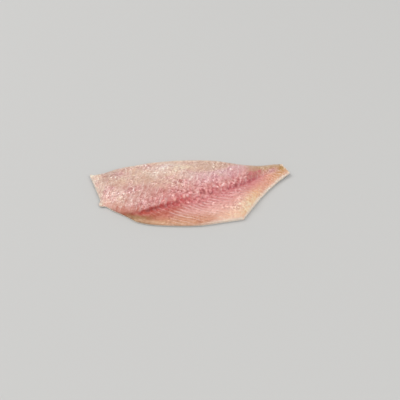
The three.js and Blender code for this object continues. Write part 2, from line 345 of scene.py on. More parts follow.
def apply_relief(piece, tree, values):
    """Run the tree on a piece with the given values, and keep the result as its plain mesh."""
    modifier = piece.modifiers.new("relief", "NODES")
    modifier.node_group = tree
    for item in tree.interface.items_tree:
        if item.in_out == "INPUT" and item.name in values:
            modifier[item.identifier] = float(values[item.name])
    graph = bpy.context.evaluated_depsgraph_get()
    made = bpy.data.meshes.new_from_object(
        piece.evaluated_get(graph), preserve_all_data_layers=True, depsgraph=graph
    )
    piece.modifiers.clear()
    piece.data = made
    made.name = piece.name


# The top: lack is 1 at a cut edge and 0 past its rounding, and crown is the share of the height it leaves
along, across = grid_shares(FLESH_COLUMNS, FLESH_ROWS)
x, y = plan(along, across)
edges = {name: distance_to(line, x, y) for name, line in edge_lines().items()}
lack = sum(np.clip(1 - edges[name] / width, 0, 1) ** CORNER_BLEND for name, width in BEVEL.items())
lack = np.clip(lack, 0, 1) ** (1 / CORNER_BLEND)
crown = (1 - lack ** BEVEL_ROUNDNESS) ** (1 / BEVEL_ROUNDNESS)
height = full_thickness(x, y)
for size, length, width, start in WAVES:
    height = height + size * np.sin(2 * np.pi * (x / length + y / width) + start)
top = SKIN_THICKNESS + curl(along, across) + EDGE_HEIGHT + np.maximum(height - EDGE_HEIGHT, MIN_TOP) * crown

# How far the flakes lag behind where they meet the midline: they slant, and bend back near the back edge
offset = y - through(MIDLINE, x)
up = np.clip(offset / (through(BACK_EDGE, x) - through(MIDLINE, x)), 0, 1)
bend = FLAKE_BEND * np.clip(up - FLAKE_BEND_FROM, 0, 1) ** 2
lag = np.where(offset > 0, FLAKE_SLANT_BACK * offset - bend, -FLAKE_SLANT_BELLY * offset)

# Lines that limit the colours or give their strength, as points [x, value]
LINING_TOP = [[-90, 7], [-70, 3], [-60, 1], [-50, -1.5], [-38, -3]]
BLOOD_WIDTH = [[-90, 1.6], [-60, 1.6], [-48, 2.0], [-24, 3.4], [5, 4.4], [38, 3.0], [78, 2.4]]
BLOOD_DEPTH = [
    [-90, 0.0], [-72, 0.15], [-60, 0.45], [-50, 0.9], [-24, 0.76], [8, 0.28], [30, 0.57], [56, 0.55], [76, 0],
]
SEAM_DEPTH = [
    [-90, 0], [-70, 0.35], [-56, 0.75], [-36, 0.75], [-20, 0.1], [20, 0.05], [34, 0.3], [46, 0.6], [58, 0.4],
    [72, 0],
]
ROSE_DEPTH = [[-92, 0.1], [-60, 0.55], [-30, 0.9], [40, 1.0], [64, 1.0], [78, 0.2], [90, 0.0]]
ROSE_ABOVE = [[-92, 8], [-60, 10], [-40, 17], [-10, 18], [20, 17], [40, 15], [60, 19], [80, 10]]
ROSE_BELOW = [[-92, 8], [-32, 9], [-8, 16], [10, 21], [30, 27], [58, 26], [72, 14], [90, 8]]
PINK_TOP = [[-90, 33], [-50, 32], [-32, 20], [0, 12]]
PEACH_TOP = [[-90, 2], [-42, 3], [-20, 8], [0, 15], [30, 24]]


def spot(at_x, at_offset, length, width):
    """A soft spot, placed along the fillet and up from the midline, in millimetres."""
    return bell(np.hypot((x - at_x) / length, (offset - at_offset) / width), 1)


def corner_spot(at_x, at_y, length, width):
    """A soft spot at a corner of the plan, in millimetres."""
    return bell(np.hypot((x - at_x) / length, (y - at_y) / width), 1)


def strongest(*masks):
    return np.maximum.reduce(masks)


# What the relief and the material read at each point: its place, and masks of about 0 to 1 for the colours
swing = lobe_swing(x)
lining_top, pink_top, peach_top = through(LINING_TOP, x), through(PINK_TOP, x), through(PEACH_TOP, x)
low_rim = np.minimum(edges["belly"], edges["vent"])
rose_width = np.where(offset > 0, through(ROSE_ABOVE, x), through(ROSE_BELOW, x))
flesh_masks = {
    "station": x,
    "offset": offset,
    "flake": (x - lag) / FLAKE_PITCH,
    "crown": crown,
    "top": np.ones_like(x),
    "cavity": (1 - ramp(x, -8, 34)) * ramp(lining_top - offset, -2, 3),
    "blood": strongest(
        bell(offset + 0.4 * swing, through(BLOOD_WIDTH, x)) * through(BLOOD_DEPTH, x),
        0.5 * spot(60, 6, 9, 4.5),
        0.35 * spot(-33, 5.5, 7, 3.5),
    ),
    "seam": bell(offset + 0.5 * swing - 0.7, 0.9) * through(SEAM_DEPTH, x),
    "rose": bell(offset, rose_width) * through(ROSE_DEPTH, x),
    "peach": (1 - ramp(x, 0, 34)) * ramp(-offset, peach_top, peach_top + 8),
    "front_pink": stretch(x, -78, -62, -24, 0) * stretch(offset, 0, 5, pink_top - 8, pink_top + 6),
    "mauve": stretch(x, -12, 8, 50, 64) * stretch(offset, 6, 14, 24, 34),
    "bruise": bell(offset - 3, 11) * stretch(x, -36, -14, 62, 76) * (1 - 0.4 * ramp(x, 34, 54)),
    "shoulder": spot(-88, 13, 10, 8),
    "raw_red": strongest(
        0.86 * bell(offset + 5, 6) * stretch(x, -76, -64, -28, -4),
        0.8 * spot(-60, 3, 9, 2.8),
    ),
    # lobe: the crest of each lobe of the lip, where a painted highlight lies
    "lobe": bell(offset + 0.6 * swing - 3.2, 1.5) * ramp(swing, 0.1, 1.0) * stretch(x, -58, -46, -6, 20),
    "tan": ramp(-x, 36, 58) * ramp(lining_top - offset, 0, 4),
    "flap_rim": bell(edges["belly"] - 1.0, 2.4) * (1 - ramp(x, -24, 4)),
    "fat": strongest(
        bell(edges["vent"] - 1.5, 7.5) * ramp(x, 20, 50) * (1 - 0.75 * ramp(x, 50, 72)),
        0.7 * bell(edges["belly"] - 1, 8) * ramp(x, 5, 45),
    ),
    "vent_cream": spot(44, -29, 11, 8),
    "back_fat": strongest(
        spot(-10, 46, 15, 7),
        0.8 * bell(edges["back"] - 6, 4) * stretch(x, -80, -50, 10, 50),
        0.45 * spot(-58, 47, 7, 6),
        0.5 * spot(-69, 40, 6, 6),
        0.8 * spot(-89, 58, 4, 6),
    ),
    "rear_belly": ramp(x, -30, 10) * ramp(-offset, 5, 16),
    "pale_back": strongest(spot(-26, 51, 16, 9), 0.6 * spot(-3, 29, 9, 6)),
    "back_tan": strongest(stretch(x, 0, 16, 56, 70) * ramp(offset, 26, 36), 1.2 * spot(-40, 42, 10, 7)),
    "smooth": strongest(spot(-40, 40, 11, 9), spot(-14, 32, 12, 7), 1.3 * spot(-61, 2, 10, 5)),
    "nape": spot(-80, 50, 10, 16),
    "tail_salmon": ramp(x, 44, 64) * ramp(-offset, -5, 3),
    "tail_top": ramp(x, 48, 65) * ramp(offset, -1, 9),
    # A painted shadow on the rose band near the tail
    "tail_painted_shadow": spot(56, 5, 10, 5),
    "belly_cream": stretch(x, 5, 25, 50, 66) * ramp(-offset, 21, 29),
    "tail_gold": spot(90, 3, 10, 10),
    "tail_violet": spot(80.5, 2, 5, 3),
    "skin_edge": strongest(
        bell(low_rim, lerp(0.8, 1.5, ramp(x, 40, 60))) * ramp(x, -20, 25),
        bell(edges["tail"], 1.4),
        0.6 * bell(edges["head"], 1.1),
        0.7 * corner_spot(-96, 40, 5.5, 5.5),
        0.9 * corner_spot(-91.6, -5.2, 2.4, 2.4),
        0.8 * bell(edges["back"], 1.6) * stretch(x, -80, -50, 20, 60),
    ),
    "cut_face": (1 - ramp(edges["head"], 0.5, 13.0)) * ramp(offset, 20, 44),
    "corner_tip": corner_spot(-94.6, 39.4, 3.4, 2.4),
    "back_strip": (
        (1 - ramp(edges["back"], 3.2, 5.2)) * stretch(x, -72, -50, 48, 70) * (1 - 0.6 * ramp(x, 0, 20))
    ),
    "strip_line": bell(edges["back"] - 5.2, 0.8) * stretch(x, -66, -50, 30, 60),
    "collar": (1 - ramp(edges["collar"], 0.5, 9.0)) * stretch(x, -86, -76, -72, -64),
}

# The closed mesh: the top as a grid, rings down its seam with the skin, and one flat cap below
rim = grid_rim(FLESH_COLUMNS, FLESH_ROWS)
rim_along, rim_across = along.ravel()[rim], across.ravel()[rim]
points = [np.stack([x.ravel(), y.ravel(), top.ravel()], 1)]
points += [seam_ring(rim_along, rim_across, inset) for inset in SEAM_INSETS]
rings = ring_numbers(rim, x.size, len(SEAM_INSETS))
quads = [grid_faces(FLESH_COLUMNS, FLESH_ROWS)]
quads += [ring_faces(below, above) for above, below in zip(rings, rings[1:])]
attributes = with_rings(flesh_masks, rim, len(SEAM_INSETS))
attributes["top"][x.size:] = 0
cap = rings[-1][::-1]
flesh = closed_mesh("fillet_flesh", np.concatenate(points), np.concatenate(quads), cap, attributes)

flesh_finish = bpy.data.materials.new("raw_flesh")

# The relief of the knife-cut top, with heights and depths in millimetres
FLESH_RELIEF = {
    "Flake groove depth": 0.32,
    "Fibre height": 0.28,
    "Grain height": 0.42,
    "Nodule height": 0.6,
    "Rib height": 0.22,
    "Back groove depth": 0.25,
    "Knife unevenness": 0.5,
    "Seed": 7.0,
}
FLAKE_WANDER, FLAKE_SHARPNESS, FLAKE_LEVEL = 1.5, 0.45, 0.8
STRANDS_IN_FLAKE, STRAND_FINENESS = 3.4, 0.26
BEAD_SCALE, BEAD_SQUASH, BEAD_FOOT, BEAD_TOP = 0.2, 1.15, 0.42, 0.05
RIBS_IN_FLAKE, RIB_WANDER, RIB_SHARPNESS = 1.3, 0.6, 3.0

# Bands lie off the midline and spans along the fillet, in millimetres: start, full, fade and end
BEAD_BAND, BEAD_SPAN = (1.5, 4.5, 6.0, 14.0), (-86.0, -66.0, 20.0, 62.0)
RIB_BAND, RIB_SPAN = (-32.0, -20.0, -8.0, -3.0), (-33.0, -24.0, 8.0, 28.0)

tree, given = start_relief("flesh_relief", FLESH_RELIEF)
station, off, flake = reading(tree, "station"), reading(tree, "offset"), reading(tree, "flake")
muscle = inverse(tree, reading(tree, "cavity"))


def layer(number):
    """Places on the flesh for a noise, in a layer of its own for each number."""
    return point(tree, station, off, calc(tree, "ADD", given["Seed"], number))


# Flakes: grooves between the muscle's blocks, which wander a little and fade in places
drift = centred(tree, noise(tree, layer(0.0), scale=0.1, detail=4.0, roughness=0.6))
wandering = calc(tree, "MULTIPLY_ADD", drift, FLAKE_WANDER, flake)
fold = calc(tree, "ABSOLUTE", calc(tree, "SINE", calc(tree, "MULTIPLY", wandering, math.pi)))
groove = calc(tree, "SUBTRACT", calc(tree, "POWER", fold, FLAKE_SHARPNESS), FLAKE_LEVEL)
parted = rise(tree, noise(tree, layer(3.0), scale=0.07, detail=2.0, roughness=0.5), 0.38, 0.6, 0.25, 1.0)
parted = calc(tree, "MULTIPLY", parted, muscle)
flakes = product(tree, groove, given["Flake groove depth"], parted)

# Fibres and grain: fine strands that follow the flakes, weaker along the crease, and pimples between
strand_along = calc(tree, "MULTIPLY", calc(tree, "ABSOLUTE", off), STRAND_FINENESS)
strand_place = point(tree, calc(tree, "MULTIPLY", flake, STRANDS_IN_FLAKE), strand_along, given["Seed"])
strands = centred(tree, noise(tree, strand_place, scale=1.0, detail=3.0, twist=1.0))
away_from_bruise = calc(tree, "MULTIPLY_ADD", reading(tree, "bruise"), -0.85, 1.0)
fibres = product(tree, strands, given["Fibre height"], muscle, away_from_bruise)
pimples = centred(tree, noise(tree, layer(9.0), scale=0.55, detail=2.0, roughness=0.5))
fibres = calc(tree, "MULTIPLY_ADD", pimples, given["Grain height"], fibres)

# Unevenness of the cut, smaller on the lining of the belly
lumps = centred(tree, noise(tree, layer(5.0), scale=0.16, detail=4.0, roughness=0.6))
uneven = product(tree, lumps, given["Knife unevenness"], calc(tree, "MULTIPLY_ADD", muscle, 1.6, 0.4))

# Nodules: a band of soft beads above the crease
bead_place = point(tree, station, calc(tree, "MULTIPLY", off, BEAD_SQUASH), given["Seed"])
bead_feeds = {"Vector": bead_place, "Scale": BEAD_SCALE, "Randomness": 0.9}
cells = add(tree, "ShaderNodeTexVoronoi", bead_feeds, feature="F1")
near_crease = calc(tree, "MULTIPLY", zone(tree, off, *BEAD_BAND), zone(tree, station, *BEAD_SPAN))
nodule = calc(tree, "MULTIPLY", rise(tree, cells, BEAD_FOOT, BEAD_TOP), near_crease)
nodules = calc(tree, "MULTIPLY", nodule, given["Nodule height"])

# Ribs: marks that the rib bones left on the flap, each as strong as a noise for its number says
rib_turn = calc(tree, "MULTIPLY", calc(tree, "MULTIPLY_ADD", drift, RIB_WANDER, flake), RIBS_IN_FLAKE)
rib_wave = calc(tree, "SINE", calc(tree, "MULTIPLY", rib_turn, 2 * math.pi))
rib_zone = calc(tree, "MULTIPLY", zone(tree, off, *RIB_BAND), zone(tree, station, *RIB_SPAN))
rib_number = calc(tree, "ROUND", calc(tree, "SUBTRACT", rib_turn, 0.25))
rib_chance = noise(tree, point(tree, rib_number, 0.0, given["Seed"]), scale=0.77, detail=0.0)
rib_strength = rise(tree, rib_chance, 0.35, 0.65, 0.35, 0.8)
rib_strength = calc(tree, "MULTIPLY_ADD", rise(tree, off, -12.0, -5.0), 0.6, rib_strength)
rib_share = calc(tree, "MULTIPLY", rib_zone, rib_strength)
rib_crest = calc(tree, "POWER", calc(tree, "MAXIMUM", rib_wave, 0.0), RIB_SHARPNESS)
rib = calc(tree, "MULTIPLY", rib_crest, rib_share)
between_ribs = calc(tree, "MULTIPLY", rise(tree, rib_wave, -0.2, -0.9), rib_share)
ribs = calc(tree, "MULTIPLY", rib, given["Rib height"])

# A shallow groove beside the back edge
strip = calc(tree, "MULTIPLY", reading(tree, "strip_line"), given["Back groove depth"])

# All of them together lift the top, less near the cut edges
lift = calc(tree, "ADD", calc(tree, "ADD", flakes, fibres), calc(tree, "ADD", uneven, nodules))
lift = calc(tree, "ADD", lift, calc(tree, "SUBTRACT", ribs, strip))
lift = product(tree, lift, reading(tree, "crown"), reading(tree, "top"))
shaped = lifted(tree, given["Geometry"], lift)
kept_values = {
    "nodule": nodule, "rib": rib, "between_ribs": between_ribs, "wander": wandering, "parted": parted,
}
for label, value in kept_values.items():
    shaped = stored(tree, shaped, label, value)
finish_relief(tree, shaped, flesh_finish)
apply_relief(flesh, tree, FLESH_RELIEF)

# The material of the flesh
flesh_finish.use_nodes = True
paint = flesh_finish.node_tree
body = paint.nodes["Principled BSDF"]
SCREEN_GAMMA = 2.2


def shade(red, green, blue):
    """A colour as seen on a screen, 0 to 255, as the linear colour that a shader takes."""
    return (*(((c / 255 + 0.055) / 1.055) ** 2.4 for c in (red, green, blue)), 1.0)


def attribute(tree, label):
    return add(tree, "ShaderNodeAttribute", out="Fac", attribute_name=label)


def mix(tree, share, first, second, blend_type="MIX"):
    """A mix of two colours. Inputs 6 and 7 and output 2 of the node are its colours."""
    feeds = {0: share, 6: first, 7: second}
    return add(tree, "ShaderNodeMix", feeds, 2, data_type="RGBA", blend_type=blend_type)


def blend(tree, share, first, second):
    """A mix of two numbers, which are inputs 2 and 3 of the node."""
    return add(tree, "ShaderNodeMix", {0: share, 2: first, 3: second})


LOIN_PALE = shade(226, 184, 166)
LOIN_LIGHT = shade(242, 218, 208)
LOIN_CREAM = shade(238, 204, 174)
LOIN_TAN = shade(210, 162, 142)
LOIN_PINK = shade(214, 152, 148)
LOIN_WHITE = shade(246, 224, 216)
LOIN_RED = shade(190, 118, 108)
LOIN_SHADE = shade(180, 114, 104)
LOIN_MAUVE = shade(226, 176, 184)
FRONT_PINK = shade(204, 138, 132)
SHOULDER_PINK = shade(252, 202, 188)
NAPE_TAN = shade(192, 154, 134)
BACK_CREAM = shade(244, 216, 186)
BACK_TAN = shade(208, 168, 142)
STRIP_CREAM = shade(240, 220, 200)
LOBE_HIGHLIGHT_PINK = shade(244, 184, 174)
ROSE = shade(216, 126, 128)
BLOOD = shade(198, 70, 70)
BLOOD_WARM = shade(198, 66, 46)
BLOOD_ROSE = shade(200, 98, 104)
BLOOD_DARK = shade(142, 28, 24)
BLOOD_PLUM = shade(158, 66, 72)
BLOOD_DOT = shade(170, 82, 88)
BEAD_HIGHLIGHT_PINK = shade(238, 172, 170)
RAW_RED = shade(192, 88, 62)
COLLAR_RED = shade(200, 116, 94)
CAVITY_PEACH = shade(208, 144, 106)
CAVITY_TAN = shade(150, 102, 42)
RIB_SHADE = shade(190, 120, 96)
FLAP_CREAM = shade(224, 182, 148)
REAR_CREAM = shade(248, 202, 182)
FAT_YELLOW = shade(250, 202, 150)
FAT_WHITE = shade(250, 228, 198)
TAIL_SALMON = shade(240, 172, 142)
TAIL_TOP = shade(194, 150, 104)
TAIL_GOLD = shade(186, 138, 54)
TAIL_VIOLET = shade(216, 160, 170)
TISSUE_WHITE = shade(250, 224, 216)
CUT_CREAM = shade(246, 226, 208)
TIP_WHITE = shade(252, 234, 214)

# Textures in the solid flesh, from the broadest to the finest, and those that follow its flakes and fibres
DEPTH_FINENESS = 450.0
STREAKS_IN_FLAKE, CURLS_IN_FLAKE, CURL_FINENESS = 3.6, 1.9, 0.16
FIBRE_FINENESS_ALONG, FIBRE_FINENESS_ACROSS = 0.3, 0.9
SPOTTED_SHARE = 0.8
station, off, wander = attribute(paint, "station"), attribute(paint, "offset"), attribute(paint, "wander")
solid = add(paint, "ShaderNodeTexCoord", out="Object")
depth = calc(paint, "MULTIPLY", add(paint, "ShaderNodeSeparateXYZ", {0: solid}, out="Z"), DEPTH_FINENESS)
far = calc(paint, "ABSOLUTE", off)
far_strands = calc(paint, "MULTIPLY", far, STRAND_FINENESS)
far_curls = calc(paint, "MULTIPLY", far, CURL_FINENESS)
bruise = attribute(paint, "bruise")
broad = noise(paint, solid, scale=55.0, detail=2.0, roughness=0.5)
creamy = noise(paint, solid, scale=70.0, detail=2.0, roughness=0.5, twist=0.4)
blotches = noise(paint, solid, scale=90.0, detail=2.0, roughness=0.5, twist=0.6)
patches = noise(paint, solid, scale=190.0, detail=3.0)
spots = noise(paint, solid, scale=365.0, detail=1.0, roughness=0.5)
mottle = noise(paint, solid, scale=420.0, detail=2.0)
specks = noise(paint, solid, scale=1000.0, detail=2.0, roughness=0.6)
strand_place = point(paint, calc(paint, "MULTIPLY", wander, STREAKS_IN_FLAKE), far_strands, depth)
streaks = noise(paint, strand_place, scale=1.0, detail=3.0, roughness=0.6, twist=0.9)
fibre_along = calc(paint, "MULTIPLY", station, FIBRE_FINENESS_ALONG)
fibre_across = calc(paint, "MULTIPLY", off, FIBRE_FINENESS_ACROSS)
fibre_place = point(paint, fibre_along, fibre_across, depth)
fibres = noise(paint, fibre_place, scale=1.0, detail=3.0, roughness=0.6, twist=0.9)
crossing = rise(paint, noise(paint, solid, scale=75.0, detail=2.0), 0.44, 0.56)
spotted = calc(paint, "MULTIPLY", bruise, SPOTTED_SHARE)
weave = blend(paint, spotted, blend(paint, crossing, streaks, fibres), spots)
curl_place = point(paint, calc(paint, "MULTIPLY", wander, CURLS_IN_FLAKE), far_curls, depth)
curls = noise(paint, curl_place, scale=1.0, detail=2.0, roughness=0.5, twist=2.2)


def worn(mask, texture, low, high, least, most):
    """A mask broken up by a texture, whose share goes from least to most as it goes from low to high."""
    return calc(paint, "MULTIPLY", mask, rise(paint, texture, low, high, least, most))


def washes(colour, rows):
    """Lay colours over each other. A row holds a mask from the mesh, its tone and the values for worn."""
    for mask, tone, texture, span, shares in rows:
        colour = mix(paint, worn(attribute(paint, mask), texture, *span, *shares), colour, tone)
    return colour


def fleck(colour, texture, low, high, most, tone, where):
    """Lay a tone that grows up to most as a texture goes from low to high, as far as the place allows."""
    share = calc(paint, "MULTIPLY", rise(paint, texture, low, high, 0.0, most), where)
    return mix(paint, share, colour, tone)


# Shares of the flesh that more than one effect reads: lively flesh has fibres, and plain flesh has few
muscle = inverse(paint, attribute(paint, "cavity"))
fat = attribute(paint, "fat")
blood_share = attribute(paint, "blood")
sliced = calc(paint, "ADD", attribute(paint, "back_strip"), attribute(paint, "cut_face"))
plain = calc(paint, "MULTIPLY_ADD", fat, 0.8, calc(paint, "MULTIPLY", sliced, 0.6))
plain = calc(paint, "MULTIPLY_ADD", attribute(paint, "tail_top"), 0.2, plain)
plain = calc(paint, "MULTIPLY_ADD", attribute(paint, "rear_belly"), 0.4, plain)
plain = calc(paint, "MULTIPLY_ADD", bruise, 0.4, plain)
lively = calc(paint, "MULTIPLY", calc(paint, "MULTIPLY_ADD", muscle, 0.8, 0.2), inverse(paint, plain))

# The broad colours, from the loin out to the flap, the vent and the tail
colour = mix(paint, rise(paint, broad, 0.4, 0.6), LOIN_PALE, LOIN_TAN)
colour = mix(paint, rise(paint, blotches, 0.46, 0.62, 0.0, 0.9), colour, LOIN_PINK)
colour = mix(paint, rise(paint, creamy, 0.5, 0.62, 0.0, 0.45), colour, LOIN_CREAM)
colour = washes(colour, [
    ("front_pink", FRONT_PINK, patches, (0.3, 0.6), (0.35, 0.65)),
    ("mauve", LOIN_MAUVE, patches, (0.3, 0.6), (0.4, 0.8)),
    ("back_tan", BACK_TAN, patches, (0.3, 0.6), (0.5, 0.85)),
    ("nape", NAPE_TAN, patches, (0.3, 0.6), (0.4, 0.7)),
    ("pale_back", LOIN_LIGHT, mottle, (0.35, 0.6), (0.35, 0.9)),
    ("back_fat", BACK_CREAM, mottle, (0.35, 0.6), (0.4, 1.0)),
    ("rear_belly", REAR_CREAM, patches, (0.3, 0.55), (0.7, 1.0)),
    ("tail_salmon", TAIL_SALMON, patches, (0.3, 0.55), (0.6, 1.0)),
    ("peach", CAVITY_PEACH, patches, (0.3, 0.6), (0.8, 1.0)),
    ("rose", ROSE, patches, (0.3, 0.65), (0.8, 1.0)),
    ("belly_cream", REAR_CREAM, patches, (0.3, 0.6), (0.3, 0.5)),
    ("raw_red", RAW_RED, patches, (0.3, 0.55), (0.75, 1.0)),
    ("tan", CAVITY_TAN, mottle, (0.3, 0.6), (0.75, 1.0)),
    ("flap_rim", FLAP_CREAM, patches, (0.3, 0.6), (0.4, 0.7)),
    ("shoulder", SHOULDER_PINK, patches, (0.3, 0.6), (0.6, 1.0)),
    ("collar", COLLAR_RED, streaks, (0.4, 0.6), (0.4, 0.9)),
    ("fat", FAT_YELLOW, patches, (0.3, 0.6), (0.5, 1.0)),
])
colour = fleck(colour, mottle, 0.5, 0.66, 0.6, FAT_WHITE, fat)
colour = washes(colour, [
    ("vent_cream", FAT_WHITE, mottle, (0.35, 0.6), (0.2, 0.55)),
    ("tail_top", TAIL_TOP, patches, (0.3, 0.6), (0.6, 1.0)),
    # The painted shadow near the tail, in the loin's dark tone
    ("tail_painted_shadow", LOIN_SHADE, patches, (0.3, 0.6), (0.4, 0.75)),
    ("tail_gold", TAIL_GOLD, patches, (0.35, 0.6), (0.7, 1.0)),
    ("tail_violet", TAIL_VIOLET, patches, (0.35, 0.6), (0.5, 0.9)),
])
swirled = calc(paint, "MULTIPLY", lively, calc(paint, "MULTIPLY_ADD", bruise, -0.7, 1.0))
colour = fleck(colour, curls, 0.52, 0.68, 0.17, LOIN_WHITE, swirled)
colour = fleck(colour, curls, 0.47, 0.32, 0.17, LOIN_RED, swirled)

# The ragged red line where the backbone lay, warm and dark in front, rosy and plum behind
ragged = calc(paint, "ADD", centred(paint, patches), centred(paint, mottle))
ragged_blood = calc(paint, "MULTIPLY_ADD", ragged, rise(paint, station, -44.0, -14.0, 0.4, 1.2), blood_share)
blood_mask = rise(paint, ragged_blood, 0.1, 0.75)
blood_mask = calc(paint, "MULTIPLY", blood_mask, rise(paint, blood_share, 0.02, 0.2))
blood_tone = mix(paint, rise(paint, station, -48.0, -26.0), BLOOD_WARM, BLOOD)
blood_tone = mix(paint, rise(paint, station, -10.0, 20.0), blood_tone, BLOOD_ROSE)
dark_tone = mix(paint, rise(paint, station, -20.0, 20.0), BLOOD_DARK, BLOOD_PLUM)
colour = mix(paint, calc(paint, "MULTIPLY", blood_mask, 0.9), colour, blood_tone)
colour = mix(paint, rise(paint, ragged_blood, 0.75, 1.2, 0.0, 0.9), colour, dark_tone)
colour = fleck(colour, spots, 0.42, 0.32, 0.5, BLOOD_DOT, bruise)
# Painted highlights on small beads in the bruised flesh
colour = fleck(colour, spots, 0.56, 0.68, 0.4, BEAD_HIGHLIGHT_PINK, bruise)

# Fibres, the painted sheen on each flake, and the white tissue in the grooves between
colour = fleck(colour, weave, 0.52, 0.68, 0.14, LOIN_WHITE, lively)
colour = fleck(colour, weave, 0.48, 0.34, 0.1, LOIN_SHADE, lively)
in_flake = calc(paint, "FRACT", wander)
parted = attribute(paint, "parted")
# Painted sheen: each flake grows lighter across its width
colour = fleck(colour, in_flake, 0.2, 1.0, 0.2, LOIN_WHITE, calc(paint, "MULTIPLY", parted, lively))
from_middle = calc(paint, "ABSOLUTE", centred(paint, in_flake))
tissue = worn(rise(paint, from_middle, 0.42, 0.5), patches, 0.4, 0.56, 0.1, 0.7)
tissue = product(paint, tissue, inverse(paint, blood_share), parted)
colour = mix(paint, tissue, colour, TISSUE_WHITE)

# Ribs, beads, a painted highlight on the crest of each lobe, the seam at the crease, and last the cut faces
# at the edges
colour = washes(colour, [
    ("between_ribs", RIB_SHADE, streaks, (0.4, 0.6), (0.1, 0.45)),
    ("rib", TISSUE_WHITE, streaks, (0.4, 0.6), (0.6, 1.0)),
    ("nodule", TISSUE_WHITE, specks, (0.3, 0.6), (0.3, 0.6)),
    ("lobe", LOBE_HIGHLIGHT_PINK, patches, (0.4, 0.6), (0.2, 1.0)),
    ("seam", dark_tone, patches, (0.36, 0.6), (0.45, 0.9)),
    ("cut_face", CUT_CREAM, patches, (0.3, 0.65), (0.1, 0.4)),
    ("back_strip", STRIP_CREAM, patches, (0.3, 0.65), (0.3, 0.75)),
    ("strip_line", LOIN_RED, patches, (0.4, 0.6), (0.0, 0.5)),
    ("skin_edge", CUT_CREAM, patches, (0.2, 0.5), (0.7, 1.0)),
    ("corner_tip", TIP_WHITE, patches, (0.2, 0.5), (0.8, 1.0)),
])

# Painted highlights and painted shade of the wet surface, with the flesh's own fine mottle, added to the
# colour as it is seen, so that its tone stays
PAINTED_LIGHT_BALANCE, DARKEST_PAINTED_SHADE = -0.02, -0.13
WARM_SHARE, COOL_SHARE = 0.85, 1.1
hairs = noise(paint, solid, scale=260.0, detail=1.0, roughness=0.5, twist=1.6)
strand_line = calc(paint, "ABSOLUTE", centred(paint, hairs))
# Painted glints: small bright specks where the wet flesh would catch the light
glints = noise(paint, solid, scale=640.0, detail=1.0)
mottle_and_painted_light = PAINTED_LIGHT_BALANCE
for texture, strength in [
    (centred(paint, mottle), 0.6),
    (centred(paint, specks), 0.32),
    (centred(paint, weave), 0.75),
    (centred(paint, curls), calc(paint, "MULTIPLY_ADD", bruise, -0.42, 0.5)),
    (centred(paint, spots), calc(paint, "MULTIPLY", bruise, 0.3)),
    (rise(paint, strand_line, 0.04, 0.0), 0.11),
    (rise(paint, glints, 0.63, 0.76), 0.16),
]:
    mottle_and_painted_light = calc(paint, "MULTIPLY_ADD", texture, strength, mottle_and_painted_light)
contrast = calc(paint, "MULTIPLY_ADD", fat, -0.45, calc(paint, "MULTIPLY_ADD", muscle, 0.48, 0.42))
contrast = calc(paint, "MULTIPLY_ADD", sliced, -0.4, contrast)
contrast = product(
    paint, contrast,
    calc(paint, "MULTIPLY_ADD", attribute(paint, "smooth"), -0.4, 1.0),
    rise(paint, broad, 0.6, 0.46, 0.45, 1.15),
    rise(paint, station, 40.0, 64.0, 1.0, 0.6),
    rise(paint, blotches, 0.4, 0.58, 0.5, 1.15),
)
mottle_and_painted_light = calc(paint, "MAXIMUM", calc(paint, "MULTIPLY", mottle_and_painted_light, contrast), DARKEST_PAINTED_SHADE)
dull = calc(paint, "MAXIMUM", calc(paint, "MULTIPLY", blood_mask, 0.5), attribute(paint, "seam"))
dull = calc(paint, "MINIMUM", dull, 1.0)
mottle_and_painted_light = calc(paint, "MULTIPLY", mottle_and_painted_light, calc(paint, "SUBTRACT", 1.0, dull))
warm, cool = calc(paint, "MULTIPLY", mottle_and_painted_light, WARM_SHARE), calc(paint, "MULTIPLY", mottle_and_painted_light, COOL_SHARE)
seen = add(paint, "ShaderNodeGamma", {0: colour, 1: 1 / SCREEN_GAMMA})
seen = mix(paint, 1.0, seen, point(paint, warm, cool, cool), "ADD")
colour = add(paint, "ShaderNodeGamma", {0: seen, 1: SCREEN_GAMMA})

gloss = rise(paint, mottle, 0.35, 0.65, 0.28, 0.5)
grain = calc(paint, "ADD", calc(paint, "MULTIPLY", specks, 0.6), calc(paint, "MULTIPLY", weave, 0.8))
bump = add(paint, "ShaderNodeBump", {"Strength": 0.6, "Distance": 0.0006, "Height": grain})
paint.links.new(colour, body.inputs["Base Color"])
paint.links.new(calc(paint, "MULTIPLY_ADD", dull, 0.35, gloss), body.inputs["Roughness"])
paint.links.new(calc(paint, "MULTIPLY_ADD", dull, -0.36, 0.38), body.inputs["Coat Weight"])
paint.links.new(bump, body.inputs["Normal"])
body.inputs["Subsurface Weight"].default_value = 0.3
body.inputs["Subsurface Radius"].default_value = (1.0, 0.65, 0.5)
body.inputs["Subsurface Scale"].default_value = 0.0008
body.inputs["Coat Roughness"].default_value = 0.14

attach(flesh, "root")
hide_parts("flesh")

# The skin backs the flesh all over and shows at the cut edge as a thin line. Its scales were scraped off,
# which left rows of little pockets. It is dark along the back, silver on the side and white at the belly.

SKIN_COLUMNS, SKIN_ROWS = 340, 170
SKIN_OVERHANG = 0.25
EDGE_ROUNDING = ((0.2, 0.8), (0.5, 1.0), (0.8, 0.8), (1.0, 0.0))
CUT_SHOWS = 1.6
SIDE_LINE = [[-98, 14], [0, 17], [60, 11], [98, 7]]
SIDE_LINE_WIDTH = 0.8
POCKET_LENGTH, POCKET_WIDTH = 3.1, 2.7
POCKET_ARC, POCKET_SLOPE = 0.62, 1.6

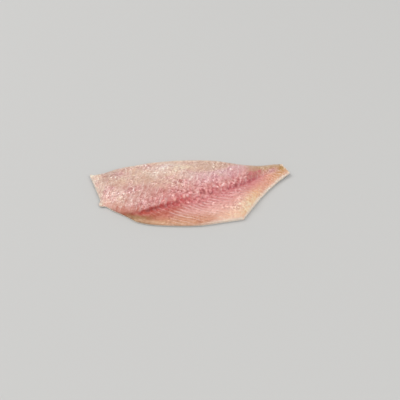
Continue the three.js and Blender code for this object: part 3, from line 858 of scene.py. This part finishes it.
# The closed mesh: the underside as a grid, its rounded edge ring by ring, then the rings under the flesh
along, across = grid_shares(SKIN_COLUMNS, SKIN_ROWS)
x, y = plan(along, across)
rim = grid_rim(SKIN_COLUMNS, SKIN_ROWS)
rim_along, rim_across = along.ravel()[rim], across.ravel()[rim]
outline = np.stack([x.ravel()[rim], y.ravel()[rim]], 1)
heading = np.roll(outline, -1, 0) - np.roll(outline, 1, 0)
heading /= np.linalg.norm(heading, axis=1, keepdims=True)
outwards = np.stack([heading[:, 1], -heading[:, 0]], 1)
points = [np.stack([x.ravel(), y.ravel(), curl(along, across).ravel()], 1)]
cut = [np.zeros(x.size)]
for level, overhang in EDGE_ROUNDING:
    z = curl(rim_along, rim_across) + level * SKIN_THICKNESS
    points.append(np.column_stack([outline + outwards * overhang * SKIN_OVERHANG, z]))
    cut.append(np.full(len(rim), min(1.0, level * CUT_SHOWS)))
for inset in SEAM_INSETS[1:]:
    points.append(seam_ring(rim_along, rim_across, inset))
    cut.append(np.ones(len(rim)))
ring_count = len(points) - 1
rings = ring_numbers(rim, x.size, ring_count)
quads = [grid_faces(SKIN_COLUMNS, SKIN_ROWS)[:, ::-1]]
quads += [ring_faces(below, above) for below, above in zip(rings, rings[1:])]
from_back = through(BACK_EDGE, x) - y
skin_masks = {
    "station": x,
    "side": y,
    "from_back": from_back,
    "side_line": bell(from_back - through(SIDE_LINE, x), SIDE_LINE_WIDTH),
    "under": np.ones_like(x),
}
attributes = with_rings(skin_masks, rim, ring_count)
attributes["under"][x.size:] = 0
attributes["cut"] = np.concatenate(cut)
skin = closed_mesh("fillet_skin", np.concatenate(points), np.concatenate(quads), rings[-1], attributes)


def pocket_rise(tree, lengthwise, sideways):
    """Height inside one scale pocket of a staggered lattice, from 0 at its front to 1 at its rear arc."""
    steps = []
    for shift in (0.0, 0.5):
        v = centred(tree, calc(tree, "FRACT", calc(tree, "ADD", sideways, 0.5 - shift)))
        arc = calc(tree, "SQRT", calc(tree, "SUBTRACT", POCKET_ARC ** 2, calc(tree, "MULTIPLY", v, v)))
        since = calc(tree, "FRACT", calc(tree, "SUBTRACT", calc(tree, "ADD", lengthwise, shift), arc))
        steps.append(calc(tree, "SUBTRACT", 1.0, since))
    ahead = calc(tree, "MINIMUM", *steps)
    return inverse(tree, calc(tree, "MULTIPLY", ahead, POCKET_SLOPE))


# The relief of the underside: the scale pockets, in millimetres
skin_finish = bpy.data.materials.new("scaled_skin")
SKIN_RELIEF = {"Pocket depth": 0.16, "Pocket length": POCKET_LENGTH, "Pocket width": POCKET_WIDTH}
tree, given = start_relief("skin_relief", SKIN_RELIEF)
lengthwise = calc(tree, "DIVIDE", reading(tree, "station"), given["Pocket length"])
sideways = calc(tree, "DIVIDE", reading(tree, "side"), given["Pocket width"])
pocket = pocket_rise(tree, lengthwise, sideways)
lift = product(tree, pocket, given["Pocket depth"], reading(tree, "under"))
finish_relief(tree, lifted(tree, given["Geometry"], lift), skin_finish)
apply_relief(skin, tree, SKIN_RELIEF)

# The material of the skin
SKIN_DARK = shade(88, 90, 92)
SKIN_SILVER = shade(196, 197, 196)
SKIN_WHITE = shade(238, 230, 226)
SKIN_ROSE = shade(224, 198, 198)
SKIN_INSIDE = shade(232, 220, 204)
SCALE_GLINT = shade(250, 250, 248)
POCKET_SHADOW_AND_SIDE_LINE = shade(36, 38, 40)
BAND_WANDER = 26.0
DARK_BACK_ENDS, SILVER_SIDE_ENDS = (12.0, 38.0), (44.0, 72.0)
ROSE_TAIL_STARTS = (66.0, 94.0)

skin_finish.use_nodes = True
paint = skin_finish.node_tree
body = paint.nodes["Principled BSDF"]
station, side = attribute(paint, "station"), attribute(paint, "side")
here = point(paint, station, side)
drift = centred(paint, noise(paint, here, scale=0.08))
down = calc(paint, "MULTIPLY_ADD", drift, BAND_WANDER, attribute(paint, "from_back"))
colour = mix(paint, rise(paint, down, *DARK_BACK_ENDS), SKIN_DARK, SKIN_SILVER)
colour = mix(paint, rise(paint, down, *SILVER_SIDE_ENDS), colour, SKIN_WHITE)
colour = mix(paint, rise(paint, station, *ROSE_TAIL_STARTS, 0.0, 0.7), colour, SKIN_ROSE)
lengthwise = calc(paint, "DIVIDE", station, POCKET_LENGTH)
sideways = calc(paint, "DIVIDE", side, POCKET_WIDTH)
pocket = pocket_rise(paint, lengthwise, sideways)
# Painted glints on the rear arc of each scale pocket
shining = rise(paint, noise(paint, here, scale=0.32, detail=2.0), 0.42, 0.6)
glint = product(paint, rise(paint, pocket, 0.65, 0.35), shining, 0.75)
colour = mix(paint, glint, colour, SCALE_GLINT)
# Painted shadow along the rim of each scale pocket, strongest on the dark back
pocket_rim_shadow = product(
    paint,
    rise(paint, pocket, 0.74, 0.9),
    rise(paint, down, 10.0, 64.0, 0.85, 0.2),
    rise(paint, noise(paint, here, scale=0.5, detail=2.0), 0.35, 0.6, 0.35, 1.0),
)
colour = mix(paint, pocket_rim_shadow, colour, POCKET_SHADOW_AND_SIDE_LINE)
# The side line: a real dark line, in the same grey as the painted pocket shadow
colour = mix(paint, calc(paint, "MULTIPLY", attribute(paint, "side_line"), 0.5), colour, POCKET_SHADOW_AND_SIDE_LINE)
colour = mix(paint, calc(paint, "MULTIPLY", attribute(paint, "cut"), 0.85), colour, SKIN_INSIDE)
bump = add(paint, "ShaderNodeBump", {"Strength": 0.6, "Distance": 0.0002, "Height": pocket})
paint.links.new(colour, body.inputs["Base Color"])
paint.links.new(rise(paint, noise(paint, here, scale=0.6), 0.3, 0.7, 0.22, 0.42), body.inputs["Roughness"])
paint.links.new(bump, body.inputs["Normal"])
body.inputs["Metallic"].default_value = 0.3
body.inputs["Coat Weight"].default_value = 0.3
body.inputs["Coat Roughness"].default_value = 0.12

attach(skin, "root")
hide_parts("skin")

# The floor stands for a plain pale tabletop, painted and matt. It is one flat sheet that runs well past
# the fillet on every side.

FLOOR_HALF = 4.0
FLOOR_GREY = (0.62, 0.62, 0.61, 1.0)
FLOOR_ROUGHNESS = 0.7
floor_mesh = bpy.data.meshes.new("floor")
corners = [(-FLOOR_HALF, -FLOOR_HALF, 0), (FLOOR_HALF, -FLOOR_HALF, 0), (FLOOR_HALF, FLOOR_HALF, 0),
           (-FLOOR_HALF, FLOOR_HALF, 0)]
floor_mesh.from_pydata(corners, [], [(0, 1, 2, 3)])
floor = bpy.data.objects.new("floor", floor_mesh)
bpy.context.collection.objects.link(floor)
pale = bpy.data.materials.new("pale_floor")
pale.use_nodes = True
pale.node_tree.nodes["Principled BSDF"].inputs["Base Color"].default_value = FLOOR_GREY
pale.node_tree.nodes["Principled BSDF"].inputs["Roughness"].default_value = FLOOR_ROUGHNESS
floor_mesh.materials.append(pale)

# The light is soft, as in a studio: a pale surround, a large square panel behind on the left, and a
# larger, slightly weaker one in front on the right. Places and sizes are in metres.

SURROUND_WHITE = (1.0, 0.99, 0.98, 1.0)
SURROUND_STRENGTH = 0.62
world = bpy.data.worlds.new("surround")
bpy.context.scene.world = world
world.use_nodes = True
world.node_tree.nodes["Background"].inputs["Color"].default_value = SURROUND_WHITE
world.node_tree.nodes["Background"].inputs["Strength"].default_value = SURROUND_STRENGTH


def panel(name, place, size, power):
    """A square soft light that faces the fillet."""
    data = bpy.data.lights.new(name, "AREA")
    data.shape = "SQUARE"
    data.size = size
    data.energy = power
    light = bpy.data.objects.new(name, data)
    bpy.context.collection.objects.link(light)
    light.location = place
    x, y, z = place
    light.rotation_euler = (math.atan2(math.hypot(x, y), z), 0.0, math.atan2(x, -y))


panel("key_panel", place=(-1.65, 1.5, 2.25), size=1.5, power=31.0)
panel("fill_panel", place=(1.2, -2.2, 2.2), size=2.1, power=30.0)

# The camera looks down at 40 degrees from the belly side, from a little towards the head. Its lens gives
# the fillet the same place and size in the picture as in the photograph.

LOOK_AT = (0.00332, -0.01199, 0.0)
ELEVATION = math.radians(40.0)
TURN = math.radians(9.91)
DISTANCE = 0.940
FOCAL_PIXELS, FRAME_PIXELS = 979.5, 400
SENSOR_WIDTH = 36.0
camera_data = bpy.data.cameras.new("camera")
camera_data.sensor_width = SENSOR_WIDTH
camera_data.lens = SENSOR_WIDTH * FOCAL_PIXELS / FRAME_PIXELS
camera = bpy.data.objects.new("camera", camera_data)
bpy.context.collection.objects.link(camera)
flat_distance = DISTANCE * math.cos(ELEVATION)
camera.location = (
    LOOK_AT[0] - flat_distance * math.sin(TURN),
    LOOK_AT[1] - flat_distance * math.cos(TURN),
    DISTANCE * math.sin(ELEVATION),
)
camera.rotation_euler = (math.pi / 2 - ELEVATION, 0.0, -TURN)
bpy.context.scene.camera = camera
bpy.context.scene.view_settings.view_transform = "Standard"
